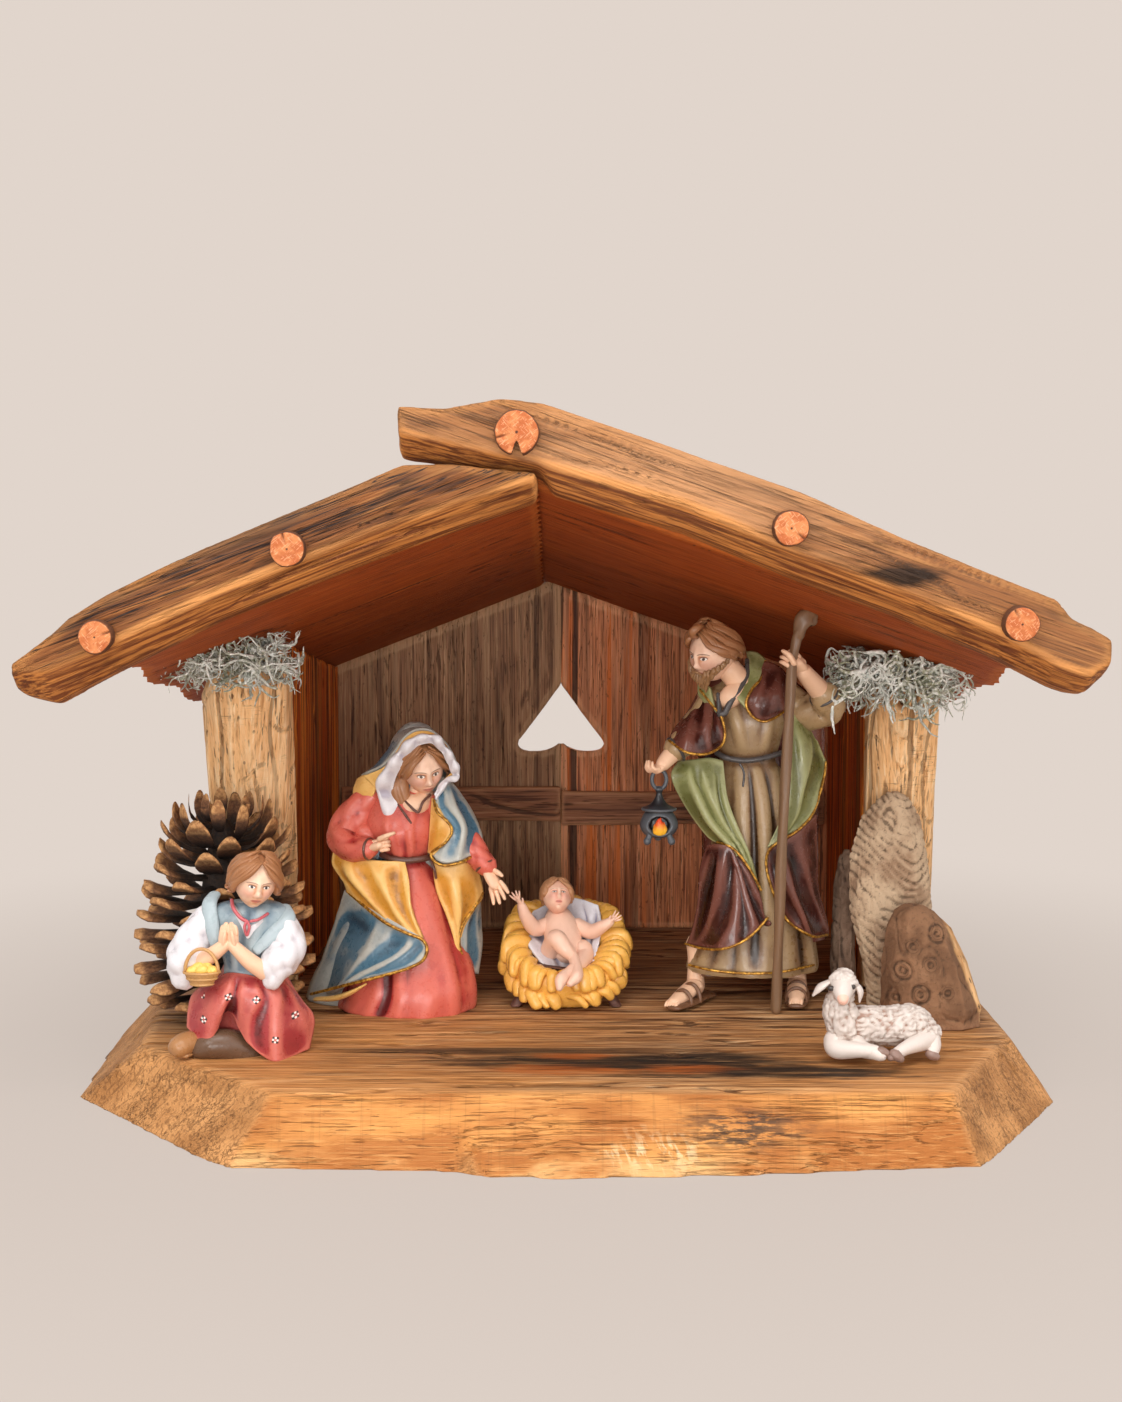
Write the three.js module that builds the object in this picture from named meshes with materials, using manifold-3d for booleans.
// A nativity scene: a small open stable of reclaimed wood with carved figures, a pine cone and bark.
// Millimetres, +X to the right, +Y to the back wall, +Z up, origin on the table under the middle of the base.
import * as THREE from 'three';
import { mergeVertices } from 'three/addons/utils/BufferGeometryUtils.js';
import Module from 'manifold-3d';

const wasm = await Module();
wasm.setup();

// Glue lines and clearances
const GLUE_GAP = 0.3;
const SEAM_GAP = 0.3;

// Base board
const BASE_THICKNESS = 18;
const BASE_HALF_WIDTH = 143;
const BASE_HALF_DEPTH = 115;

// Back wall of two boards, with two rails across it
const WALL_FRONT = 105.6;
const BOARD_THICKNESS = 3;
const BOARD_LEFT = -84;
const BOARD_RIGHT = 100;
const WINDOW_APEX = 89.3;
const WINDOW_DIP = 68.3;
const WINDOW_LOBE_BOTTOM = 65;
const WINDOW_HALF_WIDTH = 15.6;
const RAIL_THICKNESS = 2.4;
const RAIL_HEIGHT = 13;
const RAIL_WANE = 0.8;
const LEFT_RAIL_BOTTOM = 39.5;
const RIGHT_RAIL_BOTTOM = 38;

// Side walls, which open a little to the front
const SIDE_WALL_THICKNESS = 4;
const LEFT_WALL_BACK_X = -80;
const LEFT_WALL_FRONT_X = -85;
const RIGHT_WALL_BACK_X = 96;
const RIGHT_WALL_FRONT_X = 97;

// Roof: the ridge is highest at the front edge, and both panels fall to the back
const RIDGE_X = -4;
const RIDGE_HEIGHT = 159;
const ROOF_FRONT = -82;
const ROOF_BACK = 113;
const ROOF_TILT = 10;
const LEFT_PITCH = 21.3;
const RIGHT_PITCH = 19.3;
const PANEL_THICKNESS = 9;
const LEFT_EAVE = -124;
const RIGHT_EAVE = 131;
const RIDGE_LAP = 16;
const EAVE_UNDERCUT = 2;

// Beams on the front edge of the roof, and the branch slices on them
const BEAM_DEPTH = 14;
const BEAM_BEVEL_DEPTH = 6;
const BEAM_HALF_SPAN = 146;
const SLICE_THICKNESS = 4.5;
const SLICE_SIDES = 16;
const SLICE_BARK = 0.5;
const SLICE_BARK_HEIGHT = 3.4;
const SLICE_CRACK = 1.8;
const SLICE_CRACK_START = 0.25;

// Pillars
const PILLAR_SIDES = 14;
const LEFT_PILLAR = { x: -96, y: 12, lean: -14, halfWidth: 14.2, halfDepth: 12.4, foot: 0.9, phase: 0.6 };
const RIGHT_PILLAR = { x: 106, y: 22, lean: -12, halfWidth: 11.6, halfDepth: 12, foot: 0.98, phase: 2.4 };
const PILLAR_SHOULDER = 8;
const PILLAR_CROWN = 0.74;
const KNOT_HEIGHT = 86;
const KNOT_RADII = [3.4, 3, 5];
const MOSS_HEIGHT = 17;
const MOSS_THICKNESS = 5;

// Pine cone
const CONE_HEIGHT = 70;
const CONE_RADIUS = 27;
const CONE_CORE = 0.42;
const CONE_SCALES = 62;
const CONE_CORE_SHARE = 0.94;
const SCALE_WIDTH = 10.5;
const SCALE_THICKNESS = 1.7;
const CONE_PLACE = [-100.5, -22];

// Where each loose piece stands on the base board
const KNEELING_PLACE = [-47, -6];
const STANDING_PLACE = [57, 3];
const CRIB_PLACE = [1.5, 3];
const CHILD_PLACE = [-86, -56];
const LAMB_PLACE = [88, -66];

// Staff, lantern and crib
const STAFF_RADIUS = 1.5;
const LANTERN_RING_RADIUS = 3.4;
const LANTERN_WIRE = 0.8;
const LANTERN_BODY_RADIUS = 5;
const FINGER_RADIUS = 1.9;
const CRIB_WALL = 2;
const CRIB_LEAN = 0.36;
const CRIB_CENTRE_HEIGHT = 13;
const CRIB_LEG_RADIUS = 2;

const GOLDEN_TURN = Math.PI * (3 - Math.sqrt(5));
const FULL_TURN = 2 * Math.PI;
const radians = THREE.MathUtils.degToRad;
const mix = THREE.MathUtils.lerp;

const TILT = Math.tan(radians(ROOF_TILT));
const LEFT_SLOPE = Math.tan(radians(LEFT_PITCH));
const RIGHT_SLOPE = Math.tan(radians(RIGHT_PITCH));

const object = new THREE.Group();

function addPart(name, geometry, color, roughness = 0.8, place = [0, 0, 0]) {
  const material = new THREE.MeshStandardMaterial({ color, roughness, metalness: 0 });
  const mesh = new THREE.Mesh(geometry, material);
  mesh.name = name;
  mesh.position.set(...place);
  object.add(mesh);
  return mesh;
}

// Solids

function signedVolume(points, faces) {
  let volume = 0;
  for (const [a, b, c] of faces) {
    const [p, q, r] = [points[a], points[b], points[c]];
    volume += p[0] * (q[1] * r[2] - q[2] * r[1]);
    volume += p[1] * (q[2] * r[0] - q[0] * r[2]);
    volume += p[2] * (q[0] * r[1] - q[1] * r[0]);
  }
  return volume;
}

function capFaces(ring, first) {
  const normal = new THREE.Vector3();
  ring.forEach((p, i) => {
    const q = ring[(i + 1) % ring.length];
    normal.x += (p[1] - q[1]) * (p[2] + q[2]);
    normal.y += (p[2] - q[2]) * (p[0] + q[0]);
    normal.z += (p[0] - q[0]) * (p[1] + q[1]);
  });
  const turn = new THREE.Quaternion().setFromUnitVectors(normal.normalize(), new THREE.Vector3(0, 0, 1));
  const flat = ring.map((p) => {
    const v = new THREE.Vector3(...p).applyQuaternion(turn);
    return new THREE.Vector2(v.x, v.y);
  });
  return THREE.ShapeUtils.triangulateShape(flat, []).map(([a, b, c]) => {
    const area = THREE.ShapeUtils.area([flat[a], flat[b], flat[c]]);
    const face = area > 0 ? [a, b, c] : [a, c, b];
    return face.map((i) => i + first);
  });
}

// Skins a row of rings with equal counts of points, and closes both ends.
function skin(rings) {
  const count = rings[0].length;
  const points = rings.flat();
  const faces = [];
  for (let k = 0; k < rings.length - 1; k += 1) {
    const near = k * count;
    const far = near + count;
    for (let j = 0; j < count; j += 1) {
      const next = (j + 1) % count;
      faces.push([near + j, near + next, far + next]);
      faces.push([near + j, far + next, far + j]);
    }
  }
  capFaces(rings[0], 0).forEach(([a, b, c]) => faces.push([a, c, b]));
  faces.push(...capFaces(rings.at(-1), points.length - count));
  if (signedVolume(points, faces) < 0) {
    faces.forEach((face) => face.reverse());
  }
  const geometry = new THREE.BufferGeometry();
  geometry.setAttribute('position', new THREE.Float32BufferAttribute(points.flat(), 3));
  geometry.setIndex(faces.flat());
  return geometry;
}

function toSolid(geometry) {
  const bare = geometry.clone();
  bare.deleteAttribute('normal');
  bare.deleteAttribute('uv');
  const merged = mergeVertices(bare, 1e-4);
  const vertProperties = new Float32Array(merged.attributes.position.array);
  const triVerts = new Uint32Array(merged.index.array);
  return new wasm.Manifold(new wasm.Mesh({ numProp: 3, vertProperties, triVerts }));
}

function toGeometry(solid) {
  const mesh = solid.getMesh();
  const geometry = new THREE.BufferGeometry();
  geometry.setAttribute('position', new THREE.BufferAttribute(mesh.vertProperties, 3));
  geometry.setIndex(new THREE.BufferAttribute(mesh.triVerts, 1));
  return geometry;
}

function join(...geometries) {
  return toGeometry(geometries.map(toSolid).reduce((sum, solid) => sum.add(solid)));
}

function cut(geometry, ...tools) {
  return toGeometry(tools.map(toSolid).reduce((rest, tool) => rest.subtract(tool), toSolid(geometry)));
}

function ovalRing(x, y, z, halfWidth, halfDepth, sides, swell = () => 1) {
  return Array.from({ length: sides }, (_, i) => {
    const angle = (i / sides) * FULL_TURN;
    const size = swell(angle);
    return [x + halfWidth * size * Math.cos(angle), y + halfDepth * size * Math.sin(angle), z];
  });
}

// Cloth carved in wood: each level is [height, x, y, half width, half depth, depth of the folds].
function robe(levels, sides, folds, phase = 0) {
  return skin(levels.map(([z, x, y, halfWidth, halfDepth, fold]) => {
    const swell = (angle) => 1 + fold * Math.sin(folds * angle + phase + z * 0.03);
    return ovalRing(x, y, z, halfWidth, halfDepth, sides, swell);
  }));
}

// A sector of a robe, from one angle to another, that reaches in to its own middle.
function drape(levels, from, to, steps, folds, phase = 0) {
  return skin(levels.map(([z, x, y, halfWidth, halfDepth, fold]) => {
    const ring = Array.from({ length: steps + 1 }, (_, i) => {
      const angle = radians(mix(from, to, i / steps));
      const size = 1 + fold * Math.sin(folds * angle + phase + z * 0.03);
      return [x + halfWidth * size * Math.cos(angle), y + halfDepth * size * Math.sin(angle), z];
    });
    return [...ring, [x, y, z]];
  }));
}

function ovoid(x, y, z, halfWidth, halfDepth, halfHeight, wide = 10, high = 7) {
  const ball = new THREE.SphereGeometry(1, wide, high);
  ball.rotateX(Math.PI / 2);
  ball.scale(halfWidth, halfDepth, halfHeight);
  ball.translate(x, y, z);
  return ball;
}

// A round bar through points, with a radius at each point.
function limb(points, radii, sides = 8) {
  const path = points.map((p) => new THREE.Vector3(...p));
  const turn = new THREE.Quaternion();
  let last = new THREE.Vector3(0, 0, 1);
  const rings = path.map((p, i) => {
    const ahead = path[Math.min(i + 1, path.length - 1)];
    const behind = path[Math.max(i - 1, 0)];
    const along = ahead.clone().sub(behind).normalize();
    turn.premultiply(new THREE.Quaternion().setFromUnitVectors(last, along));
    last = along;
    return ovalRing(0, 0, 0, radii[i], radii[i], sides).map((q) => {
      const v = new THREE.Vector3(...q).applyQuaternion(turn).add(p);
      return [v.x, v.y, v.z];
    });
  });
  return skin(rings);
}

// Base board

// Each corner of the outline on the table, and how far the sawn bevel runs in from there to the top.
const BASE_CORNERS = [
  { x: -86, y: -109, inX: 10, inY: 11 },
  { x: -40, y: -111.5, inX: 3, inY: 13.5 },
  { x: 1, y: -BASE_HALF_DEPTH, inX: 0, inY: 17 },
  { x: 55, y: -112, inX: -1, inY: 14 },
  { x: 109, y: -107, inX: -6, inY: 9 },
  { x: BASE_HALF_WIDTH - 1, y: -49, inX: -12, inY: 7 },
  { x: BASE_HALF_WIDTH, y: 30, inX: -13, inY: 0 },
  { x: BASE_HALF_WIDTH - 2, y: BASE_HALF_DEPTH, inX: -10, inY: 0 },
  { x: 3 - BASE_HALF_WIDTH, y: BASE_HALF_DEPTH, inX: 11, inY: 0 },
  { x: -BASE_HALF_WIDTH, y: 20, inX: 17, inY: 0 },
  { x: 3 - BASE_HALF_WIDTH, y: -44, inX: 21, inY: -10 },
];

function baseBoard() {
  const bottom = BASE_CORNERS.map(({ x, y }) => [x, y, 0]);
  const top = BASE_CORNERS.map(({ x, y, inX, inY }) => [x + inX, y + inY, BASE_THICKNESS]);
  return skin([bottom, top]);
}

// Roof

// Height of the underside of the roof, for either slope carried on past the ridge.
function slopeHeight(side, x, y) {
  const slope = side < 0 ? LEFT_SLOPE : RIGHT_SLOPE;
  return BASE_THICKNESS + RIDGE_HEIGHT - slope * side * (x - RIDGE_X) - TILT * (y - ROOF_FRONT);
}

function roofUnderside(x, y) {
  return slopeHeight(x < RIDGE_X ? -1 : 1, x, y);
}

// The eave is the tree's own edge, so it wanders: how far, at each of some places along the panel.
const EAVE_WANDER = [0, 2.5, -1.5, 1.5, -2, 1, 0];

function panelPlaces() {
  const front = ROOF_FRONT + BEAM_DEPTH + GLUE_GAP;
  return EAVE_WANDER.map((wander, i) => ({ y: mix(front, ROOF_BACK, i / (EAVE_WANDER.length - 1)), wander }));
}

function leftPanel() {
  const rise = PANEL_THICKNESS / Math.cos(radians(LEFT_PITCH));
  const end = RIDGE_X - SEAM_GAP;
  const topEnd = end - (rise + SEAM_GAP) / (LEFT_SLOPE + RIGHT_SLOPE);
  return skin(panelPlaces().map(({ y, wander }) => {
    const eave = LEFT_EAVE + wander;
    return [
      [eave, y, slopeHeight(-1, eave, y)],
      [end, y, slopeHeight(-1, end, y)],
      [topEnd, y, slopeHeight(-1, topEnd, y) + rise],
      [eave + EAVE_UNDERCUT, y, slopeHeight(-1, eave + EAVE_UNDERCUT, y) + rise],
    ];
  }));
}

function rightPanel() {
  const rise = PANEL_THICKNESS / Math.cos(radians(RIGHT_PITCH));
  const end = RIDGE_X - RIDGE_LAP;
  return skin(panelPlaces().map(({ y, wander }) => {
    const eave = RIGHT_EAVE - wander;
    return [
      [end, y, slopeHeight(1, end, y)],
      [eave, y, slopeHeight(1, eave, y)],
      [eave - EAVE_UNDERCUT, y, slopeHeight(1, eave - EAVE_UNDERCUT, y) + rise],
      [end, y, slopeHeight(1, end, y) + rise],
    ];
  }));
}

// Beams: [x, top, foot of the front face, underside], the last three above the underside of the roof.
const LEFT_BEAM = [
  [-BEAM_HALF_SPAN, 7.4, 4.4, 1.4],
  [-143, 8.2, 4, -2],
  [-135, 11, 1, -7],
  [-130, 13.4, 0.8, -6],
  [-120, 15.7, 1.4, -4.6],
  [-104, 17.2, 3, -3],
  [-91, 17.9, 4.1, -1.6],
  [-57, 18.7, 4.3, -1.4],
  [-41.6, 19.1, 3.9, -1.6],
  [-30, 15, 3.3, -2],
  [-6, 3.2, 1.2, -3],
];
const RIGHT_BEAM = [
  [-43, 6, -1.3, -6],
  [-30, 10, 0.4, -3.1],
  [-16, 17.6, 2.2, -0.6],
  [-5.4, 20.2, 3.5, 2],
  [-2, 20.4, 3.7, -1.4],
  [32, 20.8, 6.2, 0.6],
  [63, 21, 4.2, -1.2],
  [89, 18.4, 4, -1.5],
  [115, 16.9, 2, -3.4],
  [131, 16.2, -1.6, -6],
  [135, 12.7, -1.4, -6],
  [140, 12.2, -1.3, -5.2],
  [BEAM_HALF_SPAN, 10.9, 5, 2.6],
];

function beam(side, stations) {
  return skin(stations.map(([x, top, face, under]) => {
    const at = (back, offset) => {
      const y = ROOF_FRONT + back;
      return [x, y, slopeHeight(side, x, y) + offset];
    };
    return [at(0, top), at(0, face), at(BEAM_BEVEL_DEPTH, under), at(BEAM_DEPTH, under), at(BEAM_DEPTH, top)];
  }));
}

function beamMiddle(side, stations, x) {
  const next = stations.findIndex((station) => station[0] >= x);
  const [before, after] = [stations[next - 1], stations[next]];
  const share = (x - before[0]) / (after[0] - before[0]);
  const middle = (mix(before[1], after[1], share) + mix(before[3], after[3], share)) / 2;
  return slopeHeight(side, x, ROOF_FRONT) + middle;
}

// A slice of branch lies flat on the front face of a beam, with its bark edge at the back.
function logSlice(radius) {
  const rim = radius + SLICE_BARK;
  const profile = [[0, 0], [rim, 0], [rim, SLICE_BARK_HEIGHT], [radius, SLICE_THICKNESS], [0, SLICE_THICKNESS]];
  const points = profile.map(([x, y]) => new THREE.Vector2(x, y));
  const slice = new THREE.LatheGeometry(points, SLICE_SIDES);
  slice.rotateX(Math.PI);
  return slice;
}

function crackedSlice(radius) {
  const outside = radius + 2 * SLICE_BARK;
  const notch = new THREE.Shape();
  notch.moveTo(0, -radius * SLICE_CRACK_START);
  notch.lineTo(-SLICE_CRACK, -outside);
  notch.lineTo(SLICE_CRACK, -outside);
  const wedge = new THREE.ExtrudeGeometry(notch, { depth: SLICE_THICKNESS * 3, bevelEnabled: false });
  wedge.rotateX(Math.PI / 2);
  wedge.translate(0, SLICE_THICKNESS, 0);
  return cut(logSlice(radius), wedge);
}

// Walls

// The two boards meet face to face on the middle line, which the window straddles.
function windowHalf(shape, side) {
  const x = side * WINDOW_HALF_WIDTH;
  const low = BASE_THICKNESS + WINDOW_LOBE_BOTTOM;
  shape.lineTo(0, BASE_THICKNESS + WINDOW_DIP);
  shape.quadraticCurveTo(x * 0.25, low, x * 0.6, low);
  shape.quadraticCurveTo(x * 1.1, low, x * 0.95, low + 4);
  shape.quadraticCurveTo(x * 0.5, low + 13, 0, BASE_THICKNESS + WINDOW_APEX);
}

function backBoard(side, outerX) {
  const back = WALL_FRONT + BOARD_THICKNESS;
  const shape = new THREE.Shape();
  shape.moveTo(outerX, BASE_THICKNESS);
  shape.lineTo(0, BASE_THICKNESS);
  windowHalf(shape, side);
  shape.lineTo(0, roofUnderside(0, back) - GLUE_GAP);
  if (side < 0) {
    shape.lineTo(RIDGE_X, roofUnderside(RIDGE_X, back) - GLUE_GAP);
  }
  shape.lineTo(outerX, roofUnderside(outerX, back) - GLUE_GAP);
  const settings = { depth: BOARD_THICKNESS, bevelEnabled: false, curveSegments: 5 };
  const board = new THREE.ExtrudeGeometry(shape, settings);
  board.rotateX(Math.PI / 2);
  board.translate(0, back, 0);
  return board;
}

function rail(fromX, toX, bottom) {
  const back = WALL_FRONT - GLUE_GAP;
  const front = back - RAIL_THICKNESS;
  const low = BASE_THICKNESS + bottom;
  const high = low + RAIL_HEIGHT;
  return skin([fromX, mix(fromX, toX, 0.4), toX].map((x, i) => {
    const wane = i === 1 ? RAIL_WANE : 0;
    return [[x, front, low + wane], [x, back, low], [x, back, high], [x, front, high - wane]];
  }));
}

function sideWall(side, frontX, backX, pillar) {
  const reach = pillar.halfDepth * (1 + 2 * PILLAR_LOBE) + GLUE_GAP;
  const back = WALL_FRONT - GLUE_GAP;
  const places = [
    { inner: frontX, foot: pillar.y + reach * pillar.foot, head: pillar.y + pillar.lean + reach },
    { inner: backX, foot: back, head: back },
  ];
  return skin(places.map(({ inner, foot, head }) => {
    const outer = inner + side * SIDE_WALL_THICKNESS;
    const top = (x) => [x, head, roofUnderside(x, head) - GLUE_GAP];
    return [[inner, foot, BASE_THICKNESS], [outer, foot, BASE_THICKNESS], top(outer), top(inner)];
  }));
}

// Pillars

const PILLAR_LEVELS = [0, 0.2, 0.4, 0.6, 0.8, 1];
const PILLAR_LOBE = 0.045;

function pillarPoint(pillar, angle, share, grow = 0, crown = 1) {
  const lobes = PILLAR_LOBE * (Math.sin(3 * angle + pillar.phase) + Math.sin(5 * angle + 4 * share));
  const size = (1 + lobes) * mix(pillar.foot, 1, share) * crown;
  const x = pillar.x + (pillar.halfWidth * size + grow) * Math.cos(angle);
  const y = pillar.y + pillar.lean * share + (pillar.halfDepth * size + grow) * Math.sin(angle);
  return [x, y];
}

function pillarPost(pillar) {
  const ring = (share, crown, drop) => Array.from({ length: PILLAR_SIDES }, (_, i) => {
    const [x, y] = pillarPoint(pillar, (i / PILLAR_SIDES) * FULL_TURN, share, 0, crown);
    const top = roofUnderside(x, y) - GLUE_GAP - drop;
    return [x, y, mix(BASE_THICKNESS, top, share)];
  });
  const shaft = PILLAR_LEVELS.map((share) => ring(share, 1, PILLAR_SHOULDER));
  return skin([...shaft, ring(1, PILLAR_CROWN, 0)]);
}

// The moss wraps the top of a pillar, from one side past the front to the other, right under the roof.
function moss(pillar, from, to) {
  const stations = 13;
  return skin(Array.from({ length: stations }, (_, i) => {
    const share = i / (stations - 1);
    const angle = radians(mix(from, to, share));
    const lump = 1 + 0.3 * Math.sin(7 * angle + pillar.phase) + 0.15 * Math.sin(11 * angle);
    const depth = MOSS_THICKNESS * lump * (0.35 + 0.65 * Math.sin(Math.PI * share));
    const at = (out, down, crown = 1) => {
      const [x, y] = pillarPoint(pillar, angle, 1, 2 * GLUE_GAP + out, crown);
      return [x, y, roofUnderside(x, y) - GLUE_GAP - down];
    };
    const foot = MOSS_HEIGHT * (1 + 0.15 * Math.sin(5 * angle));
    return [
      at(GLUE_GAP, 0, PILLAR_CROWN),
      at(depth * 0.6, 0.4),
      at(depth, foot * 0.4),
      at(depth * 0.7, foot * 0.85),
      at(0, foot),
      at(0, PILLAR_SHOULDER - GLUE_GAP),
    ];
  }));
}

const RIGHT_PILLAR_HEIGHT = roofUnderside(RIGHT_PILLAR.x, RIGHT_PILLAR.y) - BASE_THICKNESS;

function rightPillar() {
  const [x, y] = pillarPoint(RIGHT_PILLAR, radians(-96), KNOT_HEIGHT / RIGHT_PILLAR_HEIGHT);
  const knot = ovoid(x, y + KNOT_RADII[1] / 2, BASE_THICKNESS + KNOT_HEIGHT, ...KNOT_RADII, 8, 5);
  return join(pillarPost(RIGHT_PILLAR), knot);
}

// Bark and root wood

const BARK_SIDES = 12;

// Each level is [height, x, y, half width, half depth].
function barkPiece(levels, phase) {
  return skin(levels.map(([height, x, y, halfWidth, halfDepth]) => {
    const swell = (angle) => 1 + 0.07 * Math.sin(3 * angle + phase + height * 0.1) + 0.04 * Math.sin(5 * angle);
    return ovalRing(x, y, BASE_THICKNESS + height, halfWidth, halfDepth, BARK_SIDES, swell);
  }));
}

const BARK_TALL = [
  [0, 102, -8.4, 8.5, 5.5],
  [14, 102, -8.4, 11, 6.4],
  [30, 101, -7.4, 13.2, 6.6],
  [46, 101, -5.8, 12.6, 6.4],
  [58, 101, -4, 9.6, 5.2],
  [64, 102, -3.2, 5, 3.6],
  [66, 102, -3, 2, 1.6],
];
const BARK_BACK = [
  [0, 89, 9.6, 4.4, 6.4],
  [18, 88.8, 9.4, 4.2, 6.2],
  [34, 89, 9, 3.8, 5.2],
  [43, 89.4, 8.6, 2.6, 3.4],
  [46, 89.6, 8.6, 1.2, 1.4],
];
const BARK_FRONT = [
  [0, 110, -27, 14.6, 11.4],
  [6, 110, -27, 15, 11.8],
  [18, 108.6, -26, 13, 10.6],
  [28, 106.5, -25, 9.8, 8.4],
  [33, 105, -24, 6, 5],
  [35, 104.4, -23.6, 2.4, 2],
];

// Pine cone: open scales in the spiral of the golden angle round a woody core.

const CONE_OUTLINE = [[0, 0.4], [0.12, 0.66], [0.3, 1], [0.5, 0.93], [0.7, 0.72], [0.86, 0.46], [1, 0.2]];

function coneRadius(share) {
  const next = Math.max(1, CONE_OUTLINE.findIndex(([height]) => height >= share));
  const [[low, from], [high, to]] = [CONE_OUTLINE[next - 1], CONE_OUTLINE[next]];
  return CONE_RADIUS * mix(from, to, (share - low) / (high - low));
}

function coneCore() {
  const profile = CONE_OUTLINE.map(([height, radius]) => {
    return new THREE.Vector2(radius * CONE_RADIUS * CONE_CORE, height * CONE_HEIGHT * CONE_CORE_SHARE);
  });
  const ends = [new THREE.Vector2(0, 0), new THREE.Vector2(0, CONE_HEIGHT * CONE_CORE_SHARE)];
  const core = new THREE.LatheGeometry([ends[0], ...profile, ends[1]], 12);
  core.rotateX(Math.PI / 2);
  return core;
}

function coneScale(share, turn) {
  const reach = coneRadius(share);
  const lift = radians(mix(2, 62, share ** 1.5));
  const start = reach * CONE_CORE * 0.6;
  const length = (reach - start) / Math.cos(lift * 0.5);
  const width = SCALE_WIDTH * mix(0.75, 1, reach / CONE_RADIUS) * (share > 0.8 ? 0.7 : 1);
  const section = (along, halfWidth, thickness) => {
    const out = start + along * Math.cos(lift * along) * length;
    const up = along * Math.sin(lift * along) * length;
    const top = up + thickness;
    return [[out, -halfWidth, up], [out, halfWidth, up], [out, halfWidth * 0.8, top], [out, -halfWidth * 0.8, top]];
  };
  const scale = skin([
    section(0, width * 0.22, SCALE_THICKNESS),
    section(0.75, width * 0.5, SCALE_THICKNESS),
    section(1, width * 0.24, SCALE_THICKNESS * 1.4),
  ]);
  scale.rotateZ(turn);
  scale.translate(0, 0, mix(0.09, 0.86, share) * CONE_HEIGHT);
  return scale;
}

// The cone is pressed against the pillar, so the scales there are trimmed.
function clearPillar(pillar) {
  return { ...pillar, halfWidth: pillar.halfWidth + GLUE_GAP, halfDepth: pillar.halfDepth + GLUE_GAP };
}

function pineCone() {
  const scales = Array.from({ length: CONE_SCALES }, (_, i) => {
    return coneScale(i / (CONE_SCALES - 1), i * GOLDEN_TURN);
  });
  const cone = join(coneCore(), ...scales);
  cone.translate(...CONE_PLACE, BASE_THICKNESS);
  return cut(cone, pillarPost(clearPillar(LEFT_PILLAR)));
}

// Crib

const CRIB_SIDES = 12;

// Rings round the middle of the crib, [radius across, radius along, height], leaning back like the real one.
function cribRings(levels, lump = 0) {
  return skin(levels.map(([across, along, height]) => {
    const swell = (angle) => 1 + lump * Math.sin(5 * angle + height);
    const ring = ovalRing(0, 0, CRIB_CENTRE_HEIGHT + height, across, along, CRIB_SIDES, swell);
    return ring.map(([x, y, z]) => [x, y, z + y * CRIB_LEAN]);
  }));
}

const TROUGH_FLOOR = 1;
const TROUGH_RIM = 8;
const TROUGH_FLOOR_RADII = [8.5, 9];
const TROUGH_RIM_RADII = [14, 15];

function trough() {
  const [fx, fy] = TROUGH_FLOOR_RADII;
  const [rx, ry] = TROUGH_RIM_RADII;
  const outside = cribRings([
    [fx, fy, TROUGH_FLOOR - CRIB_WALL],
    [rx, ry, TROUGH_RIM],
  ]);
  const hollow = cribRings([
    [fx - CRIB_WALL, fy - CRIB_WALL, TROUGH_FLOOR],
    [rx - CRIB_WALL, ry - CRIB_WALL, TROUGH_RIM],
    [rx - CRIB_WALL, ry - CRIB_WALL, TROUGH_RIM + CRIB_WALL],
  ]);
  return cut(join(outside, ...cribLegs()), hollow);
}

function cribLegs() {
  const legs = [];
  for (const side of [-1, 1]) {
    for (const end of [-1, 1]) {
      const top = CRIB_CENTRE_HEIGHT + TROUGH_FLOOR + CRIB_LEG_RADIUS + end * 7 * CRIB_LEAN;
      legs.push(skin([
        ovalRing(side * 15.4, end * 11, 0, CRIB_LEG_RADIUS, CRIB_LEG_RADIUS, 6),
        ovalRing(side * 8, end * 7, top, CRIB_LEG_RADIUS, CRIB_LEG_RADIUS, 6),
      ]));
    }
  }
  return legs;
}

function cribStraw() {
  const [fx, fy] = TROUGH_FLOOR_RADII;
  const [rx, ry] = TROUGH_RIM_RADII;
  const inner = CRIB_WALL + GLUE_GAP + 0.2;
  const over = TROUGH_RIM + GLUE_GAP;
  return cribRings([
    [fx - inner, fy - inner, TROUGH_FLOOR + GLUE_GAP],
    [rx - inner, ry - inner, over],
    [rx + 2.4, ry + 2.6, over],
    [18.2, 19.2, over - 1.2],
    [18.8, 20, over + 2],
    [15.6, 16.8, over + 5.4],
    [11.6, 13, over + 4.6],
    [9.4, 11, over + 1.4],
    [3, 4, over],
  ], 0.025);
}

const CLOTH_BOTTOM = TROUGH_RIM + 2 * GLUE_GAP;
const CLOTH_THICKNESS = 1.2;

function cribCloth() {
  return cribRings([
    [2.6, 3.4, CLOTH_BOTTOM + 0.2],
    [8.6, 10, CLOTH_BOTTOM + 1.2],
    [9.6, 11.6, CLOTH_BOTTOM + 3],
    [8.6, 10.4, CLOTH_BOTTOM + 3.4],
    [7.2, 8.8, CLOTH_BOTTOM + 2.2],
    [2, 3, CLOTH_BOTTOM + CLOTH_THICKNESS],
  ]);
}

// Figures. Places are from the middle of the floor under each figure.

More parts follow.
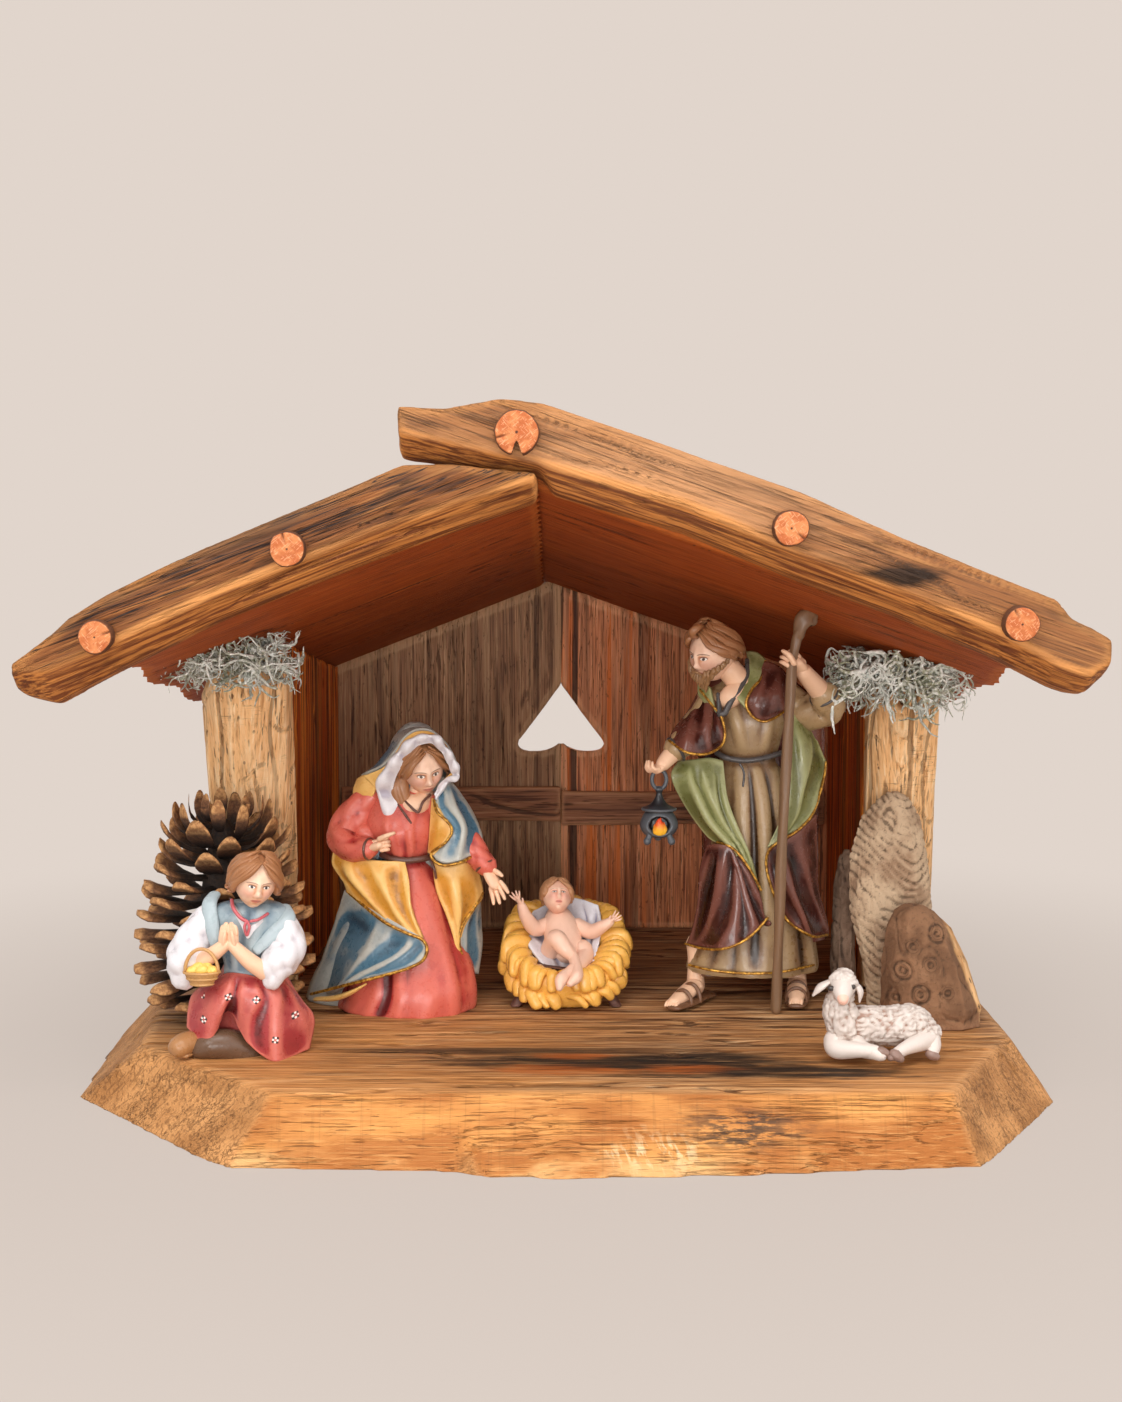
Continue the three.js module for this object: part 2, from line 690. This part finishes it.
// The infant is shaped on the level and then leans back with the crib.
function infant() {
  const bed = CRIB_CENTRE_HEIGHT + CLOTH_BOTTOM + CLOTH_THICKNESS + GLUE_GAP;
  const up = (height) => bed + height;
  const torso = ovoid(-0.6, 1, up(3.8), 5, 7, 3.6);
  const head = ovoid(-2, 9.8, up(7.4), 5.2, 5.2, 5.4, 12, 9);
  const nose = ovoid(-2, 7, up(12.2), 0.8, 0.8, 0.8, 6, 4);
  const armRadii = [2.2, 1.8, 1.6, 0.8];
  const rightArm = limb([[-2.6, 3, up(4.6)], [-9, 5, up(7.8)], [-13.2, 5, up(10)], [-15, 5, up(11.6)]], armRadii);
  const leftArm = limb([[1.6, 3, up(4.6)], [8, 4, up(6.8)], [13.4, 2, up(6.4)], [15, 2, up(7.4)]], armRadii);
  const rightLeg = limb([[-2.4, -3, up(3.6)], [2.8, -8, up(6.4)], [1.4, -14, up(5)]], [2.6, 2.4, 1.5]);
  const leftLeg = limb([[2, -3, up(3.6)], [-3, -8, up(5.6)], [-0.6, -14, up(5)]], [2.6, 2.3, 1.5]);
  const body = join(torso, head, nose, rightArm, leftArm, rightLeg, leftLeg);
  return body.applyMatrix4(new THREE.Matrix4().makeShear(0, 0, 0, CRIB_LEAN, 0, 0));
}

function kneelingFigure() {
  const dress = robe([
    [0, 1, -2, 21, 15, 0.05],
    [6, 0, -2, 21.5, 15.5, 0.06],
    [18, -1, -1, 17.5, 14, 0.06],
    [32, -2, 0, 12.5, 12, 0.05],
    [43.5, 0, 0, 9.4, 8.4, 0.02],
    [53, 1, -1, 11.8, 9, 0],
    [60, 1, 0, 12, 7.6, 0],
    [64.5, 2, -1, 4.6, 4.6, 0],
    [70, 3, -2, 4, 4, 0],
  ], 18, 7);
  const mantle = drape([
    [0, -7, 2, 22, 16, 0.05],
    [8, -7, 2, 21, 15, 0.06],
    [24, -7, 2, 17, 14, 0.06],
    [40, -7, 1.5, 14, 12, 0.05],
    [54, -6, 2, 12.5, 10.5, 0.03],
    [64, -4, 3, 11, 9, 0],
    [74, -1, 4, 9, 9, 0],
    [82, 2, 3, 7.6, 8, 0],
    [87, 3, 2, 3, 3.4, 0],
  ], 20, 235, 12, 6);
  const veil = drape([
    [62, 3, -1, 9.4, 8, 0.05],
    [70, 4, 0, 10, 9.4, 0.06],
    [78, 4, 0, 9.6, 9.4, 0.06],
    [84, 4, 0, 6, 6.4, 0],
  ], -35, 215, 12, 9);
  const head = ovoid(5, -3.4, 73.4, 6.4, 7.2, 8.2, 12, 9);
  const nose = ovoid(6, -10.6, 72.6, 1, 1.2, 1.8, 6, 4);
  const rightArm = limb([[-9, 0, 57], [-19.5, -4, 49], [-17, -9, 46.4], [-6.6, -12.6, 48.4]], [5.4, 5, 4.6, 2.6]);
  const fist = ovoid(-5.6, -12.8, 49.4, 2.8, 2.2, 3.2, 8, 5);
  const leftArm = limb([[11, 0, 57], [18, -4, 48], [22.4, -8, 40.6]], [5.2, 4.6, 3.2]);
  const palm = limb([[22, -8, 41], [26.6, -10, 34.4], [30.6, -11.6, 29.8]], [1.9, 2.4, 0.9]);
  const lining = drape([
    [15, 6, -6, 3, 6, 0],
    [27, -1, -6, 13, 9.6, 0.03],
    [42, -7, -4, 14.6, 9, 0.03],
    [47, -8, -4, 12, 8, 0.02],
  ], 180, 330, 8, 5);
  const sidePanel = drape([
    [13, 16, 3, 6, 7, 0.03],
    [30, 16, 3, 7.4, 8, 0.04],
    [44, 14, 3, 7, 7, 0.03],
    [56, 9, 3, 7, 6, 0],
  ], -68, 104, 8, 5);
  return join(dress, mantle, veil, head, nose, rightArm, fist, leftArm, palm, lining, sidePanel);
}

// The staff leans forward through the raised fist: [x, y, z] and its radius there.
const STAFF_POINTS = [
  [9.6, -19.8, 0.7, 1],
  [9.9, -20.4, 30, 1],
  [12.6, -22.4, 98, 1],
  [13.4, -23, 108, 1.2],
  [14.4, -23.6, 112, 1.7],
  [16, -24, 116.4, 2.1],
  [18, -24, 117.8, 1.5],
];

function staff(grow = 0) {
  const path = STAFF_POINTS.map((point) => point.slice(0, 3));
  return limb(path, STAFF_POINTS.map((point) => point[3] * STAFF_RADIUS + grow), 8);
}

// The finger that the lantern hangs on.
const FINGER = [-27.4, -15, 72.2];

function standingFigure() {
  const [fingerX, fingerY, fingerZ] = FINGER;
  const tunic = robe([
    [9, 1, 0, 19, 13, 0.07],
    [18, 0, 0, 18.4, 12.6, 0.07],
    [42, 0, 0, 15, 11.4, 0.06],
    [64, 1, 0, 11, 9.4, 0.03],
    [75.5, 1.5, 0, 9, 8, 0.01],
    [84, 1, 0, 11.6, 9, 0.02],
    [93, 1, 0, 13.4, 8.6, 0],
    [98.6, 0, 0, 11.6, 7, 0],
    [101.4, -4, -1.6, 5, 4.8, 0],
    [107, -7.4, -3, 4, 4, 0],
  ], 18, 8);
  const mantle = drape([
    [18, 1, 2, 21.4, 14.6, 0.05],
    [34, 1, 2, 21, 14, 0.06],
    [54, 2, 2, 19.4, 13.2, 0.06],
    [72, 3, 2, 18, 12.4, 0.05],
    [88, 2, 2, 17, 11.4, 0.03],
    [97, 1, 1, 14, 8.6, 0],
    [101, 0, 1, 8, 6, 0],
  ], -28, 205, 14, 6);
  const frontFlap = drape([
    [19, -12, -4, 8, 7.4, 0.04],
    [34, -11, -4, 9.4, 7.6, 0.05],
    [48, -9, -4, 9.6, 7.4, 0.04],
    [60, -10, -3, 8, 7, 0.03],
    [76, -11, -2, 9, 6.4, 0.03],
  ], 150, 330, 9, 5);
  const head = ovoid(-10.8, -5.4, 108.6, 6.6, 7.6, 8.6, 12, 9);
  const hair = ovoid(-7.6, -2.4, 111, 8.8, 8.8, 8.4, 10, 7);
  const beard = ovoid(-11.4, -9.6, 102.2, 4.4, 3.8, 5, 8, 6);
  const nose = ovoid(-13, -12.6, 108, 1.1, 1.3, 2, 6, 4);
  const rightArm = limb([[-8, -1, 92], [-17, -5, 83], [-22.4, -8.6, 79], [-27, -11, 74.6]], [6.4, 6, 4.2, 2.3]);
  const fist = ovoid(fingerX, fingerY + 3.8, fingerZ + 1, 2.6, 2.2, 3, 8, 6);
  const fingerEnds = [[fingerX, fingerY + 3, fingerZ], [fingerX, fingerY - 1.4, fingerZ]];
  const finger = limb(fingerEnds, [FINGER_RADIUS, FINGER_RADIUS]);
  const leftArm = limb([[12, 1, 94], [22.6, -6, 91.4], [22, -10, 95.6], [14, -20.4, 104.4]], [6, 5.2, 3.8, 2.5]);
  const leftFist = ovoid(13, -22, 105.4, 3.3, 3.4, 3.6, 8, 6);
  const feet = [[-15, -5.4, 0.3], [14.6, -3, -0.2]].map(([x, y, turn]) => {
    const foot = skin([
      ovalRing(0, -3, 0, 4.2, 8, 10),
      ovalRing(0, -3, 3, 4.2, 7.6, 10),
      ovalRing(0, 0.6, 7, 3.2, 4.4, 10),
      ovalRing(0, 2, 14, 3.6, 4.2, 10),
    ]);
    foot.rotateZ(-turn);
    foot.translate(x, y, 0);
    return foot;
  });
  const clothes = [tunic, mantle, frontFlap, rightArm, leftArm];
  const body = join(...clothes, head, hair, beard, nose, fist, finger, leftFist, ...feet);
  return cut(body, staff(GLUE_GAP));
}

// The lantern hangs by a wire ring on the finger, and turns about it.
function lantern() {
  const ringDrop = LANTERN_RING_RADIUS - LANTERN_WIRE - FINGER_RADIUS - GLUE_GAP;
  const ring = new THREE.TorusGeometry(LANTERN_RING_RADIUS, LANTERN_WIRE, 6, 14);
  ring.rotateX(Math.PI / 2);
  ring.translate(0, 0, -ringDrop);
  const neck = -ringDrop - LANTERN_RING_RADIUS;
  const radius = LANTERN_BODY_RADIUS;
  const profile = [
    [0, 0.6], [1.3, 0], [1.6, -2.4], [radius * 0.66, -3.4], [radius + 0.4, -5], [radius + 0.4, -6],
    [radius - 0.4, -6.4], [radius + 0.3, -11], [radius - 0.6, -14.6], [radius * 0.6, -15.6], [0, -15.6],
  ].map(([x, z]) => new THREE.Vector2(x, z + neck));
  const body = new THREE.LatheGeometry(profile.reverse(), 10);
  body.rotateX(Math.PI / 2);
  const pane = new THREE.BoxGeometry(radius, 3, 6.4);
  pane.translate(0, -radius, neck - 10.6);
  const flame = skin([
    ovalRing(0, 1.8 - radius, neck - 13.6, 1.6, 1.2, 6),
    ovalRing(0, 1.8 - radius, neck - 11.6, 1.5, 1.2, 6),
    ovalRing(0.3, 1.8 - radius, neck - 8.4, 0.3, 0.3, 6),
  ]);
  return join(cut(join(ring, body), pane), flame);
}

function childFigure() {
  const skirt = robe([
    [0, 1, 0, 16.4, 9.4, 0.06],
    [6, 1, 0, 16.4, 9.2, 0.07],
    [14, 2, 0, 13.6, 8.6, 0.06],
    [22, 2, 0, 9.4, 7.4, 0.03],
    [26, 2, 0, 7.6, 6.4, 0.01],
    [34, 2, 0, 8.4, 6.4, 0],
    [40, 2, 0, 8.6, 5.6, 0],
    [43, 2, -0.6, 3.4, 3.4, 0],
    [47, 2.4, -1, 3, 3, 0],
  ], 16, 6);
  const head = ovoid(2.6, -2.6, 48.6, 5.2, 5.8, 6, 12, 8);
  const nose = ovoid(3, -8.4, 47.6, 0.8, 0.9, 1.2, 6, 4);
  const hair = ovoid(2, 0, 50.4, 7.4, 6.8, 7.8, 12, 8);
  const rightArm = limb([[-5, 0, 39], [-11, -2, 30], [-15, -4, 25.6], [-7.4, -8.4, 33]], [3.8, 4.2, 4.4, 2]);
  const leftArm = limb([[9, 0, 39], [9.6, -3, 30], [5, -6, 24.6], [-2.6, -8.4, 33.6]], [3.8, 4.2, 4.4, 2]);
  const hands = limb([[-4.2, -8.6, 31], [-5, -8.8, 37.4], [-5.4, -9, 41.4]], [2.4, 2.2, 0.9]);
  const shin = limb([[-8, 0, 5], [-14, -3, 4.6], [-17, -5, 5]], [4, 3.2, 2.8]);
  const shoe = skin([
    ovalRing(-19, -6.4, 0, 4.2, 3.6, 10),
    ovalRing(-19, -6.4, 3, 4, 3.4, 10),
    ovalRing(-18, -5.6, 7, 2.6, 2.4, 10),
  ]);
  return join(skirt, head, nose, hair, rightArm, leftArm, hands, shin, shoe);
}

// The basket sits on the child's lap in front of the right sleeve.
const BASKET = [-13.4, -11.6, 24.4];

function fruitBasket() {
  const bowl = skin([
    ovalRing(0, 0, 0, 3.4, 2.4, 10),
    ovalRing(0, 0, 3.4, 5, 3, 10),
  ]);
  const fruit = [[-2, 0], [1.6, 0.2], [0, -1]].map(([x, y]) => ovoid(x, y, 4, 2.1, 2, 2, 8, 5));
  return join(bowl, ...fruit);
}

function lamb() {
  const body = skin([
    ovalRing(1.4, 1, 0, 11, 6.6, 14),
    ovalRing(1.4, 1, 5, 12, 7.4, 14),
    ovalRing(1.4, 1, 10, 11, 6.6, 14),
    ovalRing(1, 1, 14, 7, 4, 14),
  ]);
  const chest = limb([[-6, 0, 7], [-10, -1, 14], [-11.4, -2.4, 18.4]], [6.4, 5.4, 4.4], 10);
  const head = ovoid(-11.6, -3.4, 20, 4.4, 5.2, 4.8, 10, 7);
  const muzzle = ovoid(-11.6, -8, 19, 2.4, 2.6, 2.2, 8, 5);
  const earRadii = [1.4, 1.7, 0.6];
  const rightEar = limb([[-14.6, -3, 22], [-18.6, -4, 20.4], [-19.6, -4, 18.6]], earRadii, 6);
  const leftEar = limb([[-8.6, -3, 21.6], [-5.6, -4, 19.8], [-4.8, -4, 18]], earRadii, 6);
  const frontLeg = limb([[-6, -3, 4.6], [-4, -8, 3], [2.6, -8.6, 2.2], [6, -8.2, 2]], [3, 2.4, 1.8, 1.6]);
  const farLeg = limb([[-8, -4, 4], [-9, -7.6, 2.6], [-3, -9.6, 2]], [2.8, 2.2, 1.7]);
  const hindLeg = limb([[9, 0, 4.6], [12, -5.6, 3.2], [6, -7, 2.4]], [4, 2.8, 1.8]);
  return join(body, chest, head, muzzle, rightEar, leftEar, frontLeg, farLeg, hindLeg);
}

// Assembly

const OLD_WOOD = 0xa8693a;
const DARK_WOOD = 0x5b3a26;
const RED_WOOD = 0x7c3d1e;
const END_GRAIN = 0xe08a58;

function addStable() {
  addPart('base_board', baseBoard(), 0xb67a42);
  addPart('back_board_left', backBoard(-1, BOARD_LEFT), 0x6a5242);
  addPart('back_board_right', backBoard(1, BOARD_RIGHT), 0x6e3c24);
  const inside = 2 * GLUE_GAP;
  addPart('back_rail_left', rail(LEFT_WALL_BACK_X + inside, 0, LEFT_RAIL_BOTTOM), DARK_WOOD);
  addPart('back_rail_right', rail(0, RIGHT_WALL_BACK_X - inside, RIGHT_RAIL_BOTTOM), DARK_WOOD);
  addPart('side_wall_left', sideWall(-1, LEFT_WALL_FRONT_X, LEFT_WALL_BACK_X, LEFT_PILLAR), RED_WOOD);
  addPart('side_wall_right', sideWall(1, RIGHT_WALL_FRONT_X, RIGHT_WALL_BACK_X, RIGHT_PILLAR), RED_WOOD);
  addPart('pillar_left', pillarPost(LEFT_PILLAR), 0xc89a68);
  addPart('pillar_right', rightPillar(), 0xb98a5a);
  addPart('moss_left', moss(LEFT_PILLAR, -200, -15), 0x9aa08a, 1);
  addPart('moss_right', moss(RIGHT_PILLAR, -200, 10), 0xa9aca0, 1);
}

function addRoof() {
  addPart('roof_panel_left', leftPanel(), RED_WOOD);
  addPart('roof_panel_right', rightPanel(), RED_WOOD);
  addPart('barge_beam_left', beam(-1, LEFT_BEAM), OLD_WOOD);
  addPart('barge_beam_right', beam(1, RIGHT_BEAM), OLD_WOOD);
  const slices = [
    ['log_slice_left_eave', -1, LEFT_BEAM, -122, 4.3],
    ['log_slice_left_mid', -1, LEFT_BEAM, -71.4, 4.6],
    ['log_slice_ridge', 1, RIGHT_BEAM, -11.5, 5.8],
    ['log_slice_right_mid', 1, RIGHT_BEAM, 60, 4.6],
    ['log_slice_right_eave', 1, RIGHT_BEAM, 120.6, 4.6],
  ];
  for (const [name, side, stations, x, radius] of slices) {
    const shape = name === 'log_slice_ridge' ? crackedSlice(radius) : logSlice(radius);
    addPart(name, shape, END_GRAIN, 0.8, [x, ROOF_FRONT, beamMiddle(side, stations, x)]);
  }
}

function addNaturalPieces() {
  addPart('bark_tall', barkPiece(BARK_TALL, 0.4), 0x9a7c60, 0.95);
  addPart('bark_back', barkPiece(BARK_BACK, 1.9), 0x7d6350, 0.95);
  addPart('bark_front', barkPiece(BARK_FRONT, 3.1), 0xa9825c, 0.95);
  addPart('pine_cone', pineCone(), 0x5c3d28, 0.9);
}

function addFigures() {
  const floor = (place) => [...place, BASE_THICKNESS];
  addPart('crib', trough(), DARK_WOOD, 0.7, floor(CRIB_PLACE));
  addPart('crib_straw', cribStraw(), 0xc9922e, 0.6, floor(CRIB_PLACE));
  addPart('crib_cloth', cribCloth(), 0xeeeae4, 0.6, floor(CRIB_PLACE));
  addPart('infant', infant(), 0xe2b498, 0.5, floor(CRIB_PLACE));
  addPart('kneeling_figure', kneelingFigure(), 0xb8504a, 0.5, floor(KNEELING_PLACE));
  addPart('standing_figure', standingFigure(), 0x9c8a66, 0.5, floor(STANDING_PLACE));
  addPart('staff', staff(), 0x4a3526, 0.6, floor(STANDING_PLACE));
  const [fingerX, fingerY, fingerZ] = FINGER;
  const hook = [STANDING_PLACE[0] + fingerX, STANDING_PLACE[1] + fingerY, BASE_THICKNESS + fingerZ];
  addPart('lantern', lantern(), 0x2b2f36, 0.5, hook);
  addPart('child_figure', childFigure(), 0xb4544c, 0.5, floor(CHILD_PLACE));
  const [lapX, lapY, lapZ] = BASKET;
  const lap = [CHILD_PLACE[0] + lapX, CHILD_PLACE[1] + lapY, BASE_THICKNESS + lapZ];
  addPart('fruit_basket', fruitBasket(), 0xc98a2c, 0.6, lap);
  addPart('lamb', lamb(), 0xe8e2da, 0.6, floor(LAMB_PLACE));
}

addStable();
addRoof();
addNaturalPieces();
addFigures();

export default object;
